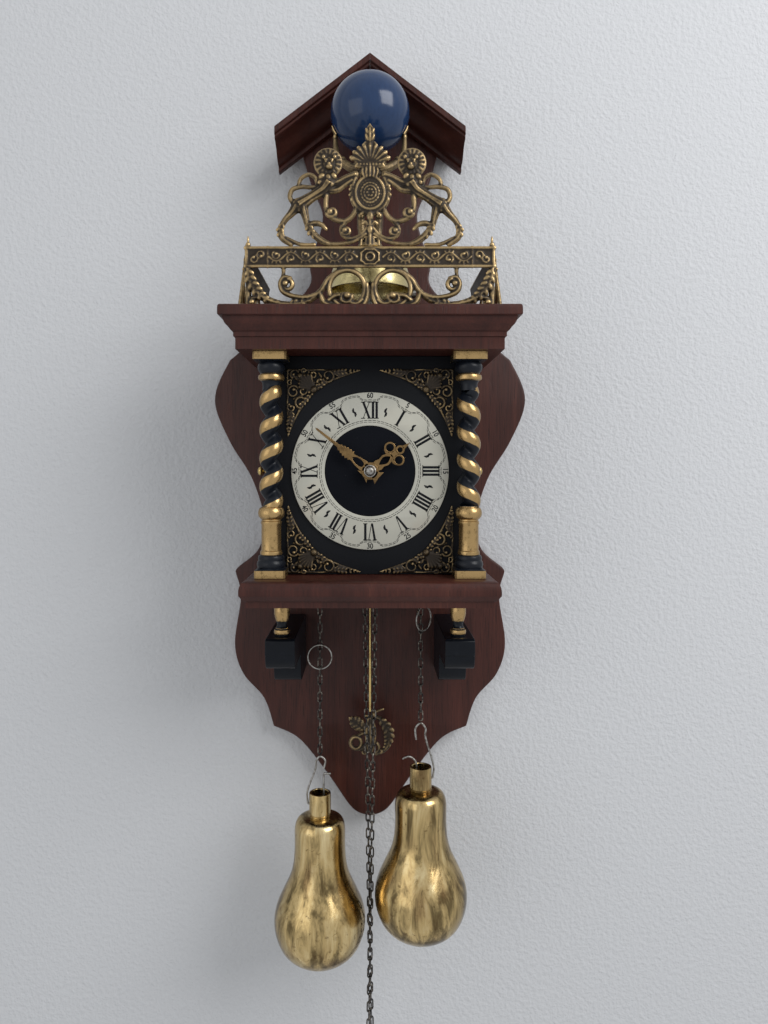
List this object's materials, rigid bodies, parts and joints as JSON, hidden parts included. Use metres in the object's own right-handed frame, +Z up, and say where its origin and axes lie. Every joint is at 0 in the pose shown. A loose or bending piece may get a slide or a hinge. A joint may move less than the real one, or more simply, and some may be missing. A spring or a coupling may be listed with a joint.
{
  "type": "zaanse wall clock",
  "caption": "weight-driven wall clock: shaped backboard with gable, glazed-side case on corbels, twisted columns, cast gallery, globe, pear weights on chains and a short pendulum",
  "frame": {"origin": "on the flat back of the backboard, where it meets the wall, at the height of the dial's centre", "axes": "+Z up along the backboard, the dial faces -Y, +Y points into the wall, +X to the right seen from the front"},
  "size_m": [0.2766, 0.1653, 0.8638],
  "materials": {
    "mahogany": "dark red-brown mahogany, satin polish",
    "ebonised": "black satin paint on wood",
    "gilt": "gilt, with the cushions and base mouldings black",
    "silvered": "silvered plate with black numerals",
    "velvet": "black velvet",
    "cast_brass": "cast brass with a dark patina in the hollows",
    "polished_brass": "polished brass",
    "weight_brass": "lacquered brass with brown streaks",
    "glass": "clear window glass",
    "blue_lacquer": "glossy dark blue lacquer",
    "steel": "bright iron wire",
    "chain_steel": "darkened steel link chain"
  },
  "bodies": {
    "case": {"backboard": "mahogany", "roof_left": "mahogany", "roof_right": "mahogany", "cornice": "mahogany", "base_board": "mahogany", "bracket_left": "ebonised", "bracket_right": "ebonised", "baluster_left": "gilt", "baluster_right": "gilt", "column_left": "gilt", "column_right": "gilt", "dial_panel": "ebonised", "chapter_ring": "silvered", "dial_centre": "velvet", "spandrel_top_left": "cast_brass", "spandrel_top_right": "cast_brass", "spandrel_bottom_left": "cast_brass", "spandrel_bottom_right": "cast_brass", "gallery_front": "cast_brass", "gallery_left": "cast_brass", "gallery_right": "cast_brass", "crest": "cast_brass", "bell": "polished_brass", "bell_post": "steel", "figure": "cast_brass", "globe": "blue_lacquer", "front_plate": "polished_brass", "back_plate": "polished_brass", "time_chain_arc": "chain_steel", "strike_chain_arc": "chain_steel"},
    "minute_hand": {"minute_hand": "cast_brass", "hand_nut": "polished_brass", "centre_arbor": "polished_brass"},
    "hour_hand": {"hour_hand": "cast_brass"},
    "time_great_wheel": {"time_great_wheel": "polished_brass"},
    "third_arbor": {"third_arbor": "polished_brass"},
    "escape_arbor": {"escape_arbor": "polished_brass"},
    "pendulum": {"pendulum_rod": "polished_brass", "pendulum_bob": "cast_brass"},
    "anchor": {"anchor": "steel"},
    "time_weight": {"time_weight": "weight_brass", "time_hook": "steel", "time_chain_to_weight": "chain_steel", "time_stop_ring": "steel"},
    "time_free_chain": {"time_free_chain": "chain_steel"},
    "time_sprocket": {"time_sprocket": "polished_brass"},
    "strike_weight": {"strike_weight": "weight_brass", "strike_hook": "steel", "strike_chain_to_weight": "chain_steel", "strike_stop_ring": "steel"},
    "strike_free_chain": {"strike_free_chain": "chain_steel"},
    "strike_sprocket": {"strike_sprocket": "polished_brass"},
    "strike_great_wheel": {"strike_great_wheel": "polished_brass"},
    "hammer": {"hammer": "steel"},
    "door_left": {"door_left": "mahogany", "door_glass_left": "glass", "door_knob_left": "polished_brass"},
    "door_right": {"door_right": "mahogany", "door_glass_right": "glass", "door_knob_right": "polished_brass"}
  },
  "joints": [
    {"name": "minute_hand_turn", "type": "hinge", "parent": "case", "child": "minute_hand", "pos_m": [0, -0.1287, 0], "axis": [0, 1, 0], "continuous": true},
    {"name": "hour_hand_turn", "type": "hinge", "parent": "case", "child": "hour_hand", "pos_m": [0, -0.1267, 0], "axis": [0, 1, 0], "continuous": true},
    {"name": "time_great_wheel_turn", "type": "hinge", "parent": "case", "child": "time_great_wheel", "pos_m": [-0.02275, -0.0764, -0.03], "axis": [0, 1, 0], "continuous": true},
    {"name": "third_arbor_turn", "type": "hinge", "parent": "case", "child": "third_arbor", "pos_m": [0.016, -0.0632, 0.017], "axis": [0, 1, 0], "continuous": true},
    {"name": "escape_arbor_turn", "type": "hinge", "parent": "case", "child": "escape_arbor", "pos_m": [0, -0.0572, 0.03], "axis": [0, 1, 0], "continuous": true},
    {"name": "pendulum_swing", "type": "hinge", "parent": "case", "child": "pendulum", "pos_m": [0, -0.038, 0.046], "axis": [0, 1, 0], "range_deg": [-3, 3]},
    {"name": "anchor_rock", "type": "hinge", "parent": "case", "child": "anchor", "pos_m": [0, -0.0572, 0.046], "axis": [0, 1, 0], "range_deg": [-3, 3]},
    {"name": "time_weight_drop", "type": "slide", "parent": "case", "child": "time_weight", "axis": [0, 0, -1], "range_m": [-0.03, 0.06]},
    {"name": "time_free_chain_run", "type": "slide", "parent": "case", "child": "time_free_chain", "axis": [0.0148, 0, -0.9999], "range_m": [-0.06, 0.03]},
    {"name": "time_sprocket_turn", "type": "hinge", "parent": "case", "child": "time_sprocket", "pos_m": [-0.02275, -0.08, -0.03], "axis": [0, -1, 0], "range_deg": [-100, 200]},
    {"name": "strike_weight_drop", "type": "slide", "parent": "case", "child": "strike_weight", "axis": [0, 0, -1], "range_m": [-0.03, 0.06]},
    {"name": "strike_free_chain_run", "type": "slide", "parent": "case", "child": "strike_free_chain", "axis": [-0.0148, 0, -0.9999], "range_m": [-0.06, 0.03]},
    {"name": "strike_sprocket_turn", "type": "hinge", "parent": "case", "child": "strike_sprocket", "pos_m": [0.02275, -0.088, -0.03], "axis": [0, 1, 0], "range_deg": [-100, 200]},
    {"name": "strike_great_wheel_turn", "type": "hinge", "parent": "case", "child": "strike_great_wheel", "pos_m": [0.02275, -0.0916, -0.03], "axis": [0, 1, 0], "continuous": true},
    {"name": "hammer_lift", "type": "hinge", "parent": "case", "child": "hammer", "pos_m": [0.036, -0.06, 0.022], "axis": [0, 1, 0], "range_deg": [0, 10], "stiffness_Nm_per_rad": 0.02},
    {"name": "door_left_open", "type": "hinge", "parent": "case", "child": "door_left", "pos_m": [-0.0745, -0.0205, 0], "axis": [0, 0, -1], "range_deg": [0, 85]},
    {"name": "door_right_open", "type": "hinge", "parent": "case", "child": "door_right", "pos_m": [0.0745, -0.0205, 0], "axis": [0, 0, 1], "range_deg": [0, 85]}
  ],
  "couplings": [
    {"joint": "hour_hand_turn", "follows": "minute_hand_turn", "ratio": 0.083333},
    {"joint": "time_great_wheel_turn", "follows": "minute_hand_turn", "ratio": -0.37593},
    {"joint": "third_arbor_turn", "follows": "minute_hand_turn", "ratio": -4.2732},
    {"joint": "escape_arbor_turn", "follows": "minute_hand_turn", "ratio": 12.538},
    {"joint": "anchor_rock", "follows": "pendulum_swing", "ratio": 1},
    {"joint": "time_free_chain_run", "follows": "time_weight_drop", "ratio": -1},
    {"joint": "time_sprocket_turn", "follows": "time_weight_drop", "rad_per_m": 57.143},
    {"joint": "strike_free_chain_run", "follows": "strike_weight_drop", "ratio": -1},
    {"joint": "strike_sprocket_turn", "follows": "strike_weight_drop", "rad_per_m": 57.143}
  ]
}
